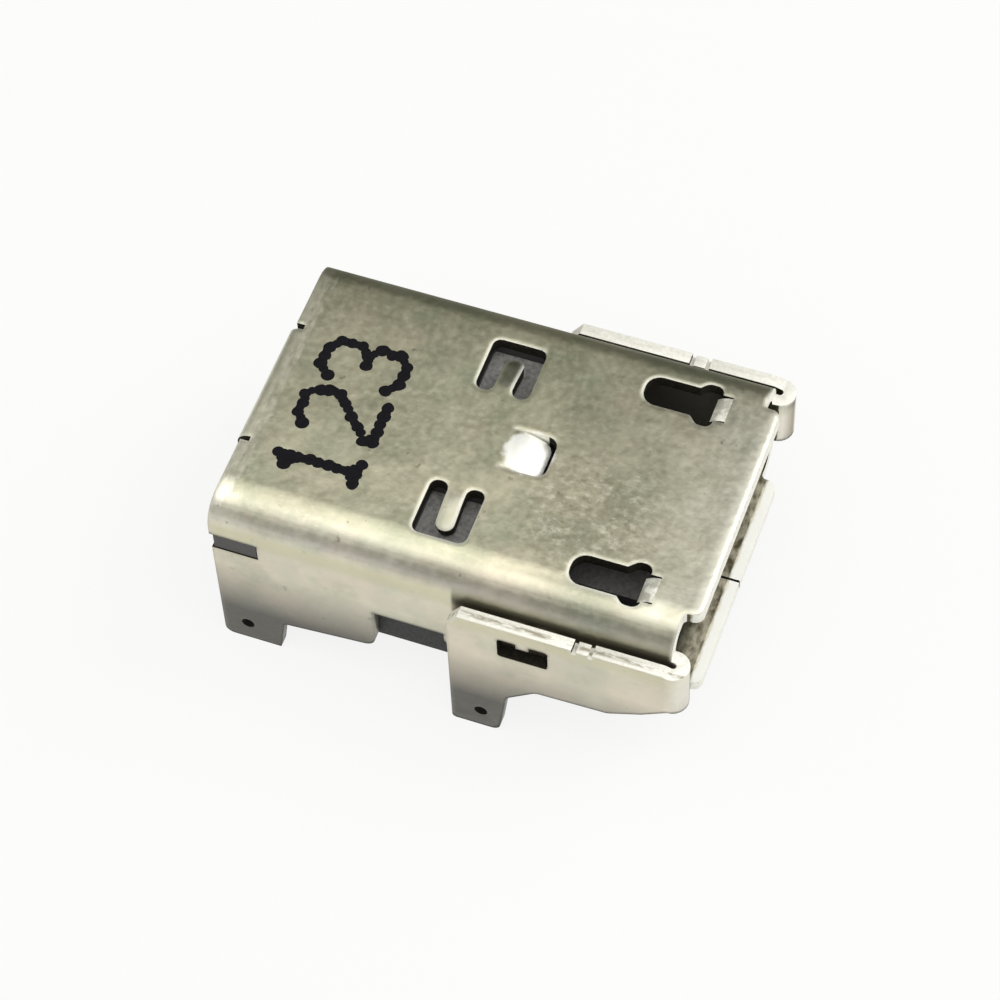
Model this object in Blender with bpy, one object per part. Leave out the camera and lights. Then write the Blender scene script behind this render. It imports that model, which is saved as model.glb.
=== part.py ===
"""Flat-mouth DC power jack for a circuit board.

A stamped and folded sheet shell stands on four legs round a moulded plastic housing,
whose tongue carries five contacts. The mouth faces -Y, the circuit board's face is z = 0.
"""
import math

import bmesh
import bpy
from mathutils import Vector
from mathutils.geometry import delaunay_2d_cdt

# Main sizes of the shell, in metres
SHEET = 0.0003
SHELL_WIDTH = 0.0076
SHELL_LENGTH = 0.01135
MOUTH_HEIGHT = 0.0031
BODY_HEIGHT = 0.0037
BEND_RADIUS = 0.00065
SEAM_GAP = 0.00006
REAR_EDGE_Y = 0.0036

# Side walls behind the tube: low wall, rear leg, notch and rear slot
LEG_DROP = 0.0013
REAR_LEG_SETBACK = 0.00002
REAR_LEG_WIDTH = 0.00139
LEG_FLARE = 0.00015
WALL_SLOPE = 0.00025
WALL_END = 0.00385
WALL_CORNER = 0.0003
NOTCH_WIDTH = 0.00173
NOTCH_TOP = 0.0023
REAR_SLOT_TOP = 0.00093
REAR_SLOT_HEIGHT = 0.00052
REAR_SLOT_LENGTH = 0.00115

# Flap folded down over the rear of the housing
FLAP_HALF_WIDTH = 0.0016
FLAP_REACH = 0.00015
FLAP_RADIUS = 0.00036
FLAP_HEIGHT = 0.0026
FLAP_RELIEF = 0.00013

# Relief cuts at the four corners of the mouth
FRONT_HALF_WIDTH = 0.0029
FRONT_CORNER = 0.00022
RELIEF_DEPTH = 0.0004
RELIEF_CORNER = 0.00012

# Wings: the front ends of the side walls, folded back along the outside
WING_GAP = 0.00016
FOLD_REACH = 0.00005
FOLD_LIFT = 0.00039
WING_LENGTH = 0.00517
WING_TOP = 0.0006
WING_STEP = 0.00015
WING_CHAMFER_LENGTH = 0.00028
WING_CHAMFER_DROP = 0.00042
WING_EDGE_REAR = 0.0029
WING_EDGE_FRONT = 0.00284
WING_EDGE_START = 0.0031
WING_EDGE_TURN = 0.0014
WING_NOSE_TURN = 0.0006
WING_NOSE_DEPTH = 0.00246
WING_ROUND = 0.0003
STUB_START = 0.00174
STUB_WIDTH = 0.00028
STUB_DROP = 0.00004
STUB_NOTCH_WIDTH = 0.0001
STUB_NOTCH_DEPTH = 0.00014
FRONT_LEG_WIDTH = 0.00115
FRONT_LEG_FLARE = 0.0002
FRONT_LEG_TOP = 0.0035
LEG_ROUND = 0.00022

# Window in each wing, with a tooth in its upper edge
WINDOW_START = 0.00278
WINDOW_LENGTH = 0.00119
WINDOW_TOP = 0.00106
WINDOW_HEIGHT = 0.00067
WINDOW_ROUND = 0.00008
TOOTH_WIDTH = 0.0003
TOOTH_HEIGHT = 0.00016

# Dimple pressed into each leg
DIMPLE_RADIUS = 0.00016
DIMPLE_DEPTH = 0.00012
DIMPLE_RISE = 0.00062
REAR_DIMPLE_SETBACK = 0.00063
FRONT_DIMPLE_SETBACK = 0.00072

# Springs in the top, each a tongue left by a slot shaped like a U
SPRING_SLOT_REAR = 0.0045
SPRING_SLOT_LENGTH = 0.0013
SPRING_SLOT_WIDTH = 0.00043
SPRING_ROOT = 0.00133
SPRING_SLOT_END = 0.0028
SPRING_TIP_GAP = 0.00034
SPRING_ROUND = 0.0002
SPRING_ANGLE = math.radians(14)
SPRING_BEND = 0.0003

# Spring tab in the middle of the top, just ahead of the housing
CENTRE_HALF_WIDTH = 0.00052
CENTRE_SLIT = 0.00004
CENTRE_LENGTH = 0.00095
CENTRE_WINDOW = 0.00107
CENTRE_ROUND = 0.00026
CENTRE_ANGLE = math.radians(26)
CENTRE_BEND = 0.00062
CENTRE_TIP = 0.00024
CENTRE_TIP_ANGLE = math.radians(-12)
CENTRE_TIP_BEND = 0.00008

# Keyhole slots near the mouth, each with a small tab bent into its head
KEYHOLE_REACH = 0.00315
KEYHOLE_LENGTH = 0.00175
KEYHOLE_CENTRE = 0.00256
KEYHOLE_WIDTH = 0.0008
KEYHOLE_ROUND = 0.00034
HEAD_LENGTH = 0.00055
HEAD_INNER = 0.0006
HEAD_OUTER = 0.00057
HEAD_ROUND = 0.00019
HEAD_TAB_HALF_WIDTH = 0.00033
HEAD_TAB_SLIT = 0.00004
HEAD_TAB_LENGTH = 0.0003
HEAD_TAB_ROOT = 0.00025
HEAD_TAB_BEND = 0.00018
HEAD_TAB_ANGLE = math.radians(38)

# Moulded housing
CLEARANCE = 0.00003
HOUSING_REAR = 0.00008
HOUSING_LENGTH = 0.00567
HOUSING_EDGE = 0.0001
LUG_INSET = 0.00002
TONGUE_TIP = 0.00075
TONGUE_WIDTH = 0.0044
TONGUE_THICKNESS = 0.0007
TONGUE_TOP = 0.0012
TONGUE_CHAMFER = 0.00018
CONTACT_BAY_HALF_WIDTH = 0.00172
CONTACT_BAY_DEPTH = 0.00067
POCKET_DEPTH = 0.0003
POCKET_MARGIN = 0.00005
STEP_MARGIN = 0.0001

# Contacts
CONTACT_COUNT = 5
CONTACT_PITCH = 0.00065
CONTACT_WIDTH = 0.0003
CONTACT_THICKNESS = 0.0002
CONTACT_PROUD = 0.00005
CONTACT_TIP_GAP = 0.00035
CONTACT_BACK_GAP = 0.00005
CONTACT_RADIUS = 0.00022
FOOT_REACH = 0.00045
FOOT_EDGE = 0.00004

# Facets
BEND_STEPS = 6
FOLD_STEPS = 12
TAB_STEPS = 3
DIMPLE_STEPS = 16
FILLET_STEP = math.radians(18)
SMOOTH_ANGLE = math.radians(32)
TINY = 0.0000001

# Values that follow from the sizes above
MIDDLE_RADIUS = BEND_RADIUS - SHEET / 2
BEND_ARC = MIDDLE_RADIUS * math.pi / 2
TOP_FLAT = SHELL_WIDTH / 2 - BEND_RADIUS
FLOOR_BEND = MOUTH_HEIGHT - BEND_RADIUS
HALF_TURN_RADIUS = (WING_GAP + SHEET) / 2
HALF_TURN_ARC = HALF_TURN_RADIUS * math.pi
FRONT_EDGE_Y = REAR_EDGE_Y - SHELL_LENGTH
FLAP_ROOT_Y = REAR_EDGE_Y + FLAP_REACH - FLAP_RADIUS
FOLD_Y = FRONT_EDGE_Y - FOLD_REACH + HALF_TURN_RADIUS + SHEET / 2
FOLD_BOTTOM = FLOOR_BEND - FOLD_LIFT
LEG_BOTTOM = BODY_HEIGHT + LEG_DROP
FLOOR_START = WALL_END + NOTCH_WIDTH
HOUSING_FRONT = HOUSING_REAR + HOUSING_LENGTH
SPRING_TIP = SPRING_SLOT_END - SPRING_TIP_GAP
HEAD_FRONT = KEYHOLE_REACH - KEYHOLE_LENGTH


def from_rear(distance):
    """Y of a place this far ahead of the shell's rear edge."""
    return REAR_EDGE_Y - distance


def from_front(distance):
    """Y of a place this far behind the mouth's edge."""
    return FRONT_EDGE_Y + distance


def below_top(depth):
    """Z of a place this far under the shell's upper face."""
    return BODY_HEIGHT - depth


# Outlines

def fillet(before, corner, after, radius):
    """Points of the arc that rounds one corner."""
    if radius <= 0:
        return [corner]
    to_before = (before - corner).normalized()
    to_after = (after - corner).normalized()
    half_angle = to_before.angle(to_after) / 2
    reach = radius / math.tan(half_angle)
    centre = corner + (to_before + to_after).normalized() * (radius / math.sin(half_angle))
    start = corner + to_before * reach - centre
    end = corner + to_after * reach - centre
    sweep = start.angle_signed(end)
    steps = max(1, math.ceil(abs(sweep) / FILLET_STEP))
    points = []
    for step in range(steps + 1):
        angle = -sweep * step / steps
        turned = Vector((start.x * math.cos(angle) - start.y * math.sin(angle),
                         start.x * math.sin(angle) + start.y * math.cos(angle)))
        points.append(centre + turned)
    return points


def rounded_outline(corners):
    """Closed outline from corners given as (across, along, radius)."""
    places = [Vector((corner[0], corner[1])) for corner in corners]
    points = []
    for index, corner in enumerate(corners):
        before = places[index - 1]
        after = places[(index + 1) % len(places)]
        points += fillet(before, places[index], after, corner[2])
    return points


def rounded_path(corners):
    """Open path from corners given as (across, along, radius)."""
    places = [Vector((corner[0], corner[1])) for corner in corners]
    points = [places[0]]
    for index in range(1, len(corners) - 1):
        points += fillet(places[index - 1], places[index], places[index + 1], corners[index][2])
    return points + [places[-1]]


def strip_outline(path, thickness):
    """Outline of a strip of even thickness that follows a path."""
    left = []
    right = []
    for index, point in enumerate(path):
        ahead = (path[min(index + 1, len(path) - 1)] - point).normalized()
        behind = (point - path[max(index - 1, 0)]).normalized()
        along = (ahead + behind).normalized()
        square = Vector((-along.y, along.x))
        spread = thickness / 2
        if 0 < index < len(path) - 1:
            spread /= square.dot(Vector((-ahead.y, ahead.x)))
        left.append(point + square * spread)
        right.append(point - square * spread)
    return left + right[::-1]


# Solids

def new_object(name, bm):
    """Object made from a bmesh, with its faces pointing out."""
    bmesh.ops.recalc_face_normals(bm, faces=bm.faces)
    mesh = bpy.data.meshes.new(name)
    bm.to_mesh(mesh)
    bm.free()
    thing = bpy.data.objects.new(name, mesh)
    bpy.context.scene.collection.objects.link(thing)
    return thing


def prism(name, outline, axis, low, high):
    """Solid of one outline pushed along X, Y or Z from low to high."""
    axes = {"X": (1, 2, 0), "Y": (0, 2, 1), "Z": (0, 1, 2)}[axis]
    bm = bmesh.new()
    base = []
    for point in outline:
        place = Vector((0, 0, 0))
        place[axes[0]] = point[0]
        place[axes[1]] = point[1]
        place[axes[2]] = low
        base.append(bm.verts.new(place))
    bottom = bm.faces.new(base)
    grown = bmesh.ops.extrude_face_region(bm, geom=[bottom])
    push = Vector((0, 0, 0))
    push[axes[2]] = high - low
    moved = [item for item in grown["geom"] if isinstance(item, bmesh.types.BMVert)]
    bmesh.ops.translate(bm, verts=moved, vec=push)
    return new_object(name, bm)


def box(name, low, high):
    """Box between two opposite corners."""
    outline = [(low[0], low[1]), (high[0], low[1]), (high[0], high[1]), (low[0], high[1])]
    return prism(name, outline, "Z", low[2], high[2])


def combine(target, tools, operation):
    """Cuts the tools from the target, or joins them to it, and removes the tools."""
    for tool in tools:
        tool.hide_render = True
        tool.display_type = "WIRE"
        modifier = target.modifiers.new(tool.name, "BOOLEAN")
        modifier.operation = operation
        modifier.object = tool
    graph = bpy.context.evaluated_depsgraph_get()
    mesh = bpy.data.meshes.new_from_object(target.evaluated_get(graph))
    target.modifiers.clear()
    target.data = mesh
    for tool in tools:
        bpy.data.objects.remove(tool)


def finish(thing, material):
    """Gives the object its material and smooth bends."""
    thing.data.name = thing.name
    thing.data.materials.clear()
    thing.data.materials.append(material)
    thing.data.shade_smooth()
    thing.data.set_sharp_from_angle(angle=SMOOTH_ANGLE)


def new_material(name, colour, roughness, metallic):
    """Principled material."""
    material = bpy.data.materials.new(name)
    material.use_nodes = True
    material.diffuse_color = (*colour, 1)
    shader = material.node_tree.nodes["Principled BSDF"]
    shader.inputs["Base Color"].default_value = (*colour, 1)
    shader.inputs["Roughness"].default_value = roughness
    shader.inputs["Metallic"].default_value = metallic
    return material


# Flat blank of the shell: across is measured over the sheet's middle, along is Y

def wall_across(depth):
    """Place across the blank of a point this far down the side wall."""
    return TOP_FLAT + BEND_ARC + depth - BEND_RADIUS


def floor_across(half_width):
    """Place across the blank of a point of the tube's floor."""
    return wall_across(FLOOR_BEND) + BEND_ARC + TOP_FLAT - half_width


def wing_along(distance):
    """Place along the blank of a point this far back from the wing's fold."""
    return FOLD_Y - HALF_TURN_ARC - distance


def front_corner(edge_across, relief_across):
    """Rounded front corner and the relief cut beside it."""
    return [(edge_across, FRONT_EDGE_Y, FRONT_CORNER),
            (edge_across, from_front(RELIEF_DEPTH), RELIEF_CORNER),
            (relief_across, from_front(RELIEF_DEPTH), 0)]


def wing_edge():
    """Edge of the wing, from the top of its fold round the leg to the fold's lower end."""
    top = wall_across(WING_TOP)
    foot = wall_across(LEG_BOTTOM)
    foot_front = WING_LENGTH - FRONT_LEG_WIDTH
    edge = [(wall_across(BEND_RADIUS), wing_along(0), 0), (top, wing_along(WING_STEP), 0)]
    edge += carrier_stub()
    edge += [(top, wing_along(WING_LENGTH - WING_CHAMFER_LENGTH), 0),
             (wall_across(WING_TOP + WING_CHAMFER_DROP), wing_along(WING_LENGTH), 0),
             (foot, wing_along(WING_LENGTH), LEG_ROUND / 2),
             (foot, wing_along(foot_front), LEG_ROUND),
             (wall_across(FRONT_LEG_TOP), wing_along(foot_front - FRONT_LEG_FLARE), WING_ROUND),
             (wall_across(WING_EDGE_REAR), wing_along(WING_EDGE_START), WING_ROUND),
             (wall_across(WING_EDGE_FRONT), wing_along(WING_EDGE_TURN), WING_ROUND),
             (wall_across(WING_NOSE_DEPTH), wing_along(WING_NOSE_TURN), WING_ROUND),
             (wall_across(FOLD_BOTTOM), wing_along(0), 0)]
    return edge


def carrier_stub():
    """Stub of the carrier strip in the wing's upper edge, with a notch on each side."""
    top = wall_across(WING_TOP)
    notch = wall_across(WING_TOP + STUB_NOTCH_DEPTH)
    stub = wall_across(WING_TOP + STUB_DROP)
    start = STUB_START
    end = STUB_START + STUB_NOTCH_WIDTH * 2 + STUB_WIDTH
    return [(top, wing_along(start), 0),
            (notch, wing_along(start), 0),
            (notch, wing_along(start + STUB_NOTCH_WIDTH), 0),
            (stub, wing_along(start + STUB_NOTCH_WIDTH), 0),
            (stub, wing_along(end - STUB_NOTCH_WIDTH), 0),
            (notch, wing_along(end - STUB_NOTCH_WIDTH), 0),
            (notch, wing_along(end), 0),
            (top, wing_along(end), 0)]


def wall_edge():
    """Edge of the side wall, from the tube's floor back to the shell's rear corner."""
    bottom = wall_across(BODY_HEIGHT)
    foot = wall_across(LEG_BOTTOM)
    leg_front = REAR_LEG_SETBACK + REAR_LEG_WIDTH
    slot_top = wall_across(REAR_SLOT_TOP)
    slot_bottom = wall_across(REAR_SLOT_TOP + REAR_SLOT_HEIGHT)
    return [(floor_across(SEAM_GAP / 2), from_rear(FLOOR_START), 0),
            (wall_across(NOTCH_TOP), from_rear(FLOOR_START), 0),
            (wall_across(NOTCH_TOP), from_rear(WALL_END), 0),
            (bottom, from_rear(WALL_END), WALL_CORNER),
            (bottom + WALL_SLOPE, from_rear(leg_front + LEG_FLARE), RELIEF_CORNER),
            (foot, from_rear(leg_front), 0),
            (foot, from_rear(REAR_LEG_SETBACK), LEG_ROUND),
            (slot_bottom, from_rear(REAR_LEG_SETBACK), 0),
            (slot_bottom, from_rear(REAR_SLOT_LENGTH), 0),
            (slot_top, from_rear(REAR_SLOT_LENGTH), 0),
            (slot_top, from_rear(0), 0)]


def flap_edge():
    """Rear edge of the top, the relief beside the flap and the flap's lower edge."""
    relief = FLAP_HALF_WIDTH + FLAP_RELIEF
    flap_end = FLAP_ROOT_Y + flap_arc() + FLAP_HEIGHT - FLAP_RADIUS
    return [(relief, from_rear(0), 0),
            (relief, FLAP_ROOT_Y, 0),
            (FLAP_HALF_WIDTH, FLAP_ROOT_Y, 0),
            (FLAP_HALF_WIDTH, flap_end, LEG_ROUND)]


def flap_arc():
    """Length of the sheet's middle round the flap's bend."""
    return (FLAP_RADIUS - SHEET / 2) * math.pi / 2


def blank_outline():
    """Outer edge of the whole blank."""
    half = front_corner(FRONT_HALF_WIDTH, wall_across(BEND_RADIUS))
    half += wing_edge()
    half += front_corner(floor_across(FRONT_HALF_WIDTH), wall_across(FOLD_BOTTOM))[::-1]
    half += [(floor_across(SEAM_GAP / 2), FRONT_EDGE_Y, 0)]
    half += wall_edge()
    half += flap_edge()
    mirrored = [(-across, along, radius) for across, along, radius in reversed(half)]
    return rounded_outline(half + mirrored)


def spring_slot(side):
    """Slot shaped like a U that leaves a spring tongue."""
    rear = from_rear(SPRING_SLOT_REAR)
    front = from_rear(SPRING_SLOT_REAR + SPRING_SLOT_LENGTH)
    tongue_rear = rear - SPRING_SLOT_WIDTH
    tongue_front = front + SPRING_SLOT_WIDTH
    root = side * SPRING_ROOT
    end = side * SPRING_SLOT_END
    tip = side * SPRING_TIP
    return rounded_outline([(root, rear, SPRING_ROUND), (end, rear, SPRING_ROUND),
                            (end, front, SPRING_ROUND), (root, front, SPRING_ROUND),
                            (root, tongue_front, SPRING_ROUND), (tip, tongue_front, SPRING_ROUND),
                            (tip, tongue_rear, SPRING_ROUND), (root, tongue_rear, SPRING_ROUND)])


def centre_slot():
    """Slit round the sides and the free end of the middle tab."""
    root = from_rear(HOUSING_FRONT + CENTRE_SLIT)
    end = root - CENTRE_WINDOW
    tip = root - CENTRE_LENGTH
    inner = CENTRE_HALF_WIDTH
    outer = CENTRE_HALF_WIDTH + CENTRE_SLIT
    return rounded_outline([(-outer, root, 0), (-outer, end, CENTRE_ROUND),
                            (outer, end, CENTRE_ROUND), (outer, root, 0),
                            (inner, root, 0), (inner, tip, CENTRE_ROUND),
                            (-inner, tip, CENTRE_ROUND), (-inner, root, 0)])


def keyhole(side):
    """Keyhole slot with the two slits that free its tab."""
    def place(offset, distance, radius):
        return (side * (KEYHOLE_CENTRE + offset), from_front(distance), radius)

    neck = KEYHOLE_WIDTH / 2
    head_rear = HEAD_FRONT + HEAD_LENGTH
    root = HEAD_FRONT - HEAD_TAB_ROOT
    tip = root + HEAD_TAB_LENGTH
    slit = HEAD_TAB_HALF_WIDTH + HEAD_TAB_SLIT
    return rounded_outline([place(-neck, KEYHOLE_REACH, KEYHOLE_ROUND),
                            place(neck, KEYHOLE_REACH, KEYHOLE_ROUND),
                            place(neck, head_rear, 0),
                            place(HEAD_OUTER, head_rear - (HEAD_OUTER - neck), HEAD_ROUND),
                            place(HEAD_OUTER, HEAD_FRONT, HEAD_ROUND),
                            place(slit, HEAD_FRONT, 0),
                            place(slit, root, 0),
                            place(HEAD_TAB_HALF_WIDTH, root, 0),
                            place(HEAD_TAB_HALF_WIDTH, tip, 0),
                            place(-HEAD_TAB_HALF_WIDTH, tip, 0),
                            place(-HEAD_TAB_HALF_WIDTH, root, 0),
                            place(-slit, root, 0),
                            place(-slit, HEAD_FRONT, 0),
                            place(-HEAD_INNER, HEAD_FRONT, HEAD_ROUND),
                            place(-HEAD_INNER, head_rear - (HEAD_INNER - neck), HEAD_ROUND),
                            place(-neck, head_rear, 0)])


def wing_window(side):
    """Window in a wing, with the tooth in its upper edge."""
    def place(distance, depth, radius):
        return (side * wall_across(depth), wing_along(distance), radius)

    end = WINDOW_START + WINDOW_LENGTH
    middle = WINDOW_START + WINDOW_LENGTH / 2
    bottom = WINDOW_TOP + WINDOW_HEIGHT
    tooth = WINDOW_TOP + TOOTH_HEIGHT
    return rounded_outline([place(WINDOW_START, WINDOW_TOP, WINDOW_ROUND),
                            place(WINDOW_START, bottom, WINDOW_ROUND),
                            place(end, bottom, WINDOW_ROUND),
                            place(end, WINDOW_TOP, WINDOW_ROUND),
                            place(middle + TOOTH_WIDTH / 2, WINDOW_TOP, 0),
                            place(middle + TOOTH_WIDTH / 2, tooth, 0),
                            place(middle - TOOTH_WIDTH / 2, tooth, 0),
                            place(middle - TOOTH_WIDTH / 2, WINDOW_TOP, 0)])


def blank_holes():
    """Every opening stamped in the blank."""
    holes = [centre_slot()]
    for side in (-1, 1):
        holes += [spring_slot(side), keyhole(side), wing_window(side)]
    return holes


def inside(point, outline):
    """Whether a point lies inside a closed outline."""
    hit = False
    for index, end in enumerate(outline):
        start = outline[index - 1]
        if (start.y > point.y) != (end.y > point.y):
            crossing = start.x + (point.y - start.y) * (end.x - start.x) / (end.y - start.y)
            if crossing > point.x:
                hit = not hit
    return hit


def stamped_blank():
    """The flat blank as a mesh of triangles in the plane of its middle."""
    loops = [blank_outline()] + blank_holes()
    points = []
    edges = []
    for loop in loops:
        first = len(points)
        points += loop
        edges += [(first + index, first + (index + 1) % len(loop)) for index in range(len(loop))]
    places, _, triangles, _, _, _ = delaunay_2d_cdt(points, edges, [], 1, TINY / 100)
    bm = bmesh.new()
    verts = [bm.verts.new((place.x, place.y, 0)) for place in places]
    for triangle in triangles:
        middle = sum((places[index] for index in triangle), Vector((0, 0))) / 3
        if inside(middle, loops[0]) and not any(inside(middle, hole) for hole in loops[1:]):
            bm.faces.new([verts[index] for index in triangle])
    loose = [vert for vert in bm.verts if not vert.link_faces]
    bmesh.ops.delete(bm, geom=loose, context="VERTS")
    return bm


def score(bm, axis, value, chosen):
    """Splits the chosen faces along one line across or along the blank."""
    faces = [face for face in bm.faces if chosen(face.calc_center_median())]
    edges = {edge for face in faces for edge in face.edges}
    verts = {vert for face in faces for vert in face.verts}
    point = Vector((value, 0, 0)) if axis == "across" else Vector((0, value, 0))
    normal = Vector((1, 0, 0)) if axis == "across" else Vector((0, 1, 0))
    bmesh.ops.bisect_plane(bm, geom=faces + list(edges) + list(verts), dist=TINY,
                           plane_co=point, plane_no=normal)


# Folding: a bend is (start, length, angle), measured along the sheet's middle

def follow_bends(distance, bends):
    """Where a strip's middle lies and how it slopes after this much of its length."""
    ahead = 0.0
    drop = 0.0
    slope = 0.0
    used = 0.0
    for start, length, angle in bends:
        if distance <= start:
            break
        ahead += (start - used) * math.cos(slope)
        drop += (start - used) * math.sin(slope)
        part = min(distance, start + length) - start
        radius = length / angle
        turned = slope + part / radius
        ahead += radius * (math.sin(turned) - math.sin(slope))
        drop += radius * (math.cos(slope) - math.cos(turned))
        slope = turned
        used = start + part
    ahead += (distance - used) * math.cos(slope)
    drop += (distance - used) * math.sin(slope)
    return ahead, drop, slope


class Tab:
    """Part of the flat top that is bent down about a root line."""

    def __init__(self, axis, root, direction, reach, sides, bends):
        self.axis = axis
        self.root = root
        self.direction = direction
        self.reach = reach
        self.low, self.high = sides
        self.bends = bends

    def distance(self, point):
        """How far past the root a point of the blank lies."""
        return (point[self.axis] - self.root) * self.direction

    def holds(self, point):
        """Whether a point of the blank belongs to this tab."""
        beside = self.low - TINY < point[1 - self.axis] < self.high + TINY
        return beside and TINY < self.distance(point) < self.reach + TINY

    def score_lines(self):
        """Distances past the root at which the tab's faces are split."""
        lines = []
        for start, length, _ in self.bends:
            steps = FOLD_STEPS // 2 if length > SHEET else TAB_STEPS
            lines += [start + length * step / steps for step in range(steps + 1)]
        return lines


def top_tabs():
    """The flap, the springs and the small tabs of the top."""
    flap = Tab(1, FLAP_ROOT_Y, 1, flap_arc() + FLAP_HEIGHT,
               (-FLAP_HALF_WIDTH, FLAP_HALF_WIDTH), [(0, flap_arc(), math.pi / 2)])
    centre = Tab(1, from_rear(HOUSING_FRONT + CENTRE_SLIT), -1, CENTRE_LENGTH,
                 (-CENTRE_HALF_WIDTH, CENTRE_HALF_WIDTH),
                 [(0, CENTRE_BEND, CENTRE_ANGLE),
                  (CENTRE_LENGTH - CENTRE_TIP, CENTRE_TIP_BEND, CENTRE_TIP_ANGLE)])
    tabs = [flap, centre]
    rear = from_rear(SPRING_SLOT_REAR + SPRING_SLOT_WIDTH)
    front = from_rear(SPRING_SLOT_REAR + SPRING_SLOT_LENGTH - SPRING_SLOT_WIDTH)
    for side in (-1, 1):
        root = SPRING_ROOT + SPRING_ROUND
        tabs.append(Tab(0, side * root, side, SPRING_TIP - root, (front, rear),
                        [(0, SPRING_BEND, SPRING_ANGLE)]))
        middle = side * KEYHOLE_CENTRE
        tabs.append(Tab(1, from_front(HEAD_FRONT - HEAD_TAB_ROOT), 1, HEAD_TAB_LENGTH,
                        (middle - HEAD_TAB_HALF_WIDTH, middle + HEAD_TAB_HALF_WIDTH),
                        [(0, HEAD_TAB_BEND, HEAD_TAB_ANGLE)]))
    return tabs


def in_wing(point):
    """Whether a point of the blank lies past the fold that turns a wing back."""
    if point[1] > FOLD_Y - TINY:
        return False
    if point[1] < FRONT_EDGE_Y - TINY:
        return True
    return wall_across(WING_TOP) - TINY < abs(point[0]) < wall_across(FOLD_BOTTOM) + TINY


def in_floor(point):
    """Whether a point of the blank lies past the bend that turns the wall under the tube."""
    return abs(point[0]) > wall_across(FLOOR_BEND) and point[1] < from_rear(FLOOR_START) + TINY


def fold_section(across, lift, has_floor):
    """Place in the shell's cross-section of a point of the blank, as (x, z)."""
    bends = [(TOP_FLAT, BEND_ARC, math.pi / 2)]
    if has_floor:
        bends.append((wall_across(FLOOR_BEND), BEND_ARC, math.pi / 2))
    ahead, drop, slope = follow_bends(abs(across), bends)
    x = ahead + lift * math.sin(slope)
    z = BODY_HEIGHT - SHEET / 2 - drop + lift * math.cos(slope)
    return math.copysign(x, across), z


def fold_wing(point, lift):
    """Place of a point of a wing, turned back along the outside of the wall."""
    ahead, out, slope = follow_bends(FOLD_Y - point[1], [(0, HALF_TURN_ARC, math.pi)])
    x = SHELL_WIDTH / 2 - SHEET / 2 + out + lift * math.cos(slope)
    y = FOLD_Y - ahead + lift * math.sin(slope)
    z = BODY_HEIGHT - (abs(point[0]) - TOP_FLAT - BEND_ARC + BEND_RADIUS)
    return Vector((math.copysign(x, point[0]), y, z))


def folded(point, lift, tabs):
    """Place in the finished shell of a point of the blank, lifted off the sheet's middle."""
    if in_wing(point):
        return fold_wing(point, lift)
    for tab in tabs:
        if tab.holds(point):
            ahead, drop, slope = follow_bends(tab.distance(point), tab.bends)
            place = Vector((point[0], point[1], BODY_HEIGHT - SHEET / 2))
            place[tab.axis] = tab.root + tab.direction * (ahead + lift * math.sin(slope))
            place.z += lift * math.cos(slope) - drop
            return place
    x, z = fold_section(point[0], lift, in_floor(point))
    return Vector((x, point[1], z))


def score_blank(bm, tabs):
    """Splits the blank along all its bends."""
    for step in range(BEND_STEPS + 1):
        turn = BEND_ARC * step / BEND_STEPS
        for side in (-1, 1):
            score(bm, "across", side * (TOP_FLAT + turn), lambda c: not in_wing(c))
            score(bm, "across", side * (wall_across(FLOOR_BEND) + turn),
                  lambda c: c[1] < from_rear(FLOOR_START) and not in_wing(c))
    for step in range(FOLD_STEPS + 1):
        line = FOLD_Y - HALF_TURN_ARC * step / FOLD_STEPS
        score(bm, "along", line, lambda c: c[1] < FOLD_Y + RELIEF_DEPTH
              and wall_across(0) < abs(c[0]) < wall_across(LEG_BOTTOM))
    for tab in tabs:
        for line in tab.score_lines():
            where = tab.root + tab.direction * line
            score(bm, "across" if tab.axis == 0 else "along", where,
                  lambda c: abs(c[0]) < TOP_FLAT)


def fold_blank(bm, tabs):
    """Closed solid of the folded sheet, from the scored blank."""
    solid = bmesh.new()
    outer = {}
    inner = {}
    for vert in bm.verts:
        outer[vert] = solid.verts.new(folded(vert.co, SHEET / 2, tabs))
        inner[vert] = solid.verts.new(folded(vert.co, -SHEET / 2, tabs))
    for face in bm.faces:
        verts = face.verts[:] if face.normal.z > 0 else face.verts[::-1]
        solid.faces.new([outer[vert] for vert in verts])
        solid.faces.new([inner[vert] for vert in reversed(verts)])
    for edge in bm.edges:
        if len(edge.link_faces) == 1:
            loop = edge.link_loops[0]
            start, end = loop.vert, loop.link_loop_next.vert
            if edge.link_faces[0].normal.z < 0:
                start, end = end, start
            solid.faces.new([outer[end], outer[start], inner[start], inner[end]])
    return solid


def dimple(name, x, y, side):
    """Cutter of one dimple, a short cone pointing into a leg from outside."""
    bm = bmesh.new()
    rim_radius = DIMPLE_RADIUS * 2
    rim = []
    for step in range(DIMPLE_STEPS):
        angle = 2 * math.pi * step / DIMPLE_STEPS
        rim.append(bm.verts.new((x + side * DIMPLE_DEPTH, y + rim_radius * math.cos(angle),
                                 DIMPLE_RISE - LEG_DROP + rim_radius * math.sin(angle))))
    tip = bm.verts.new((x - side * DIMPLE_DEPTH, y, DIMPLE_RISE - LEG_DROP))
    bm.faces.new(rim)
    for index in range(DIMPLE_STEPS):
        bm.faces.new([rim[index - 1], rim[index], tip])
    return new_object(name, bm)


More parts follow.
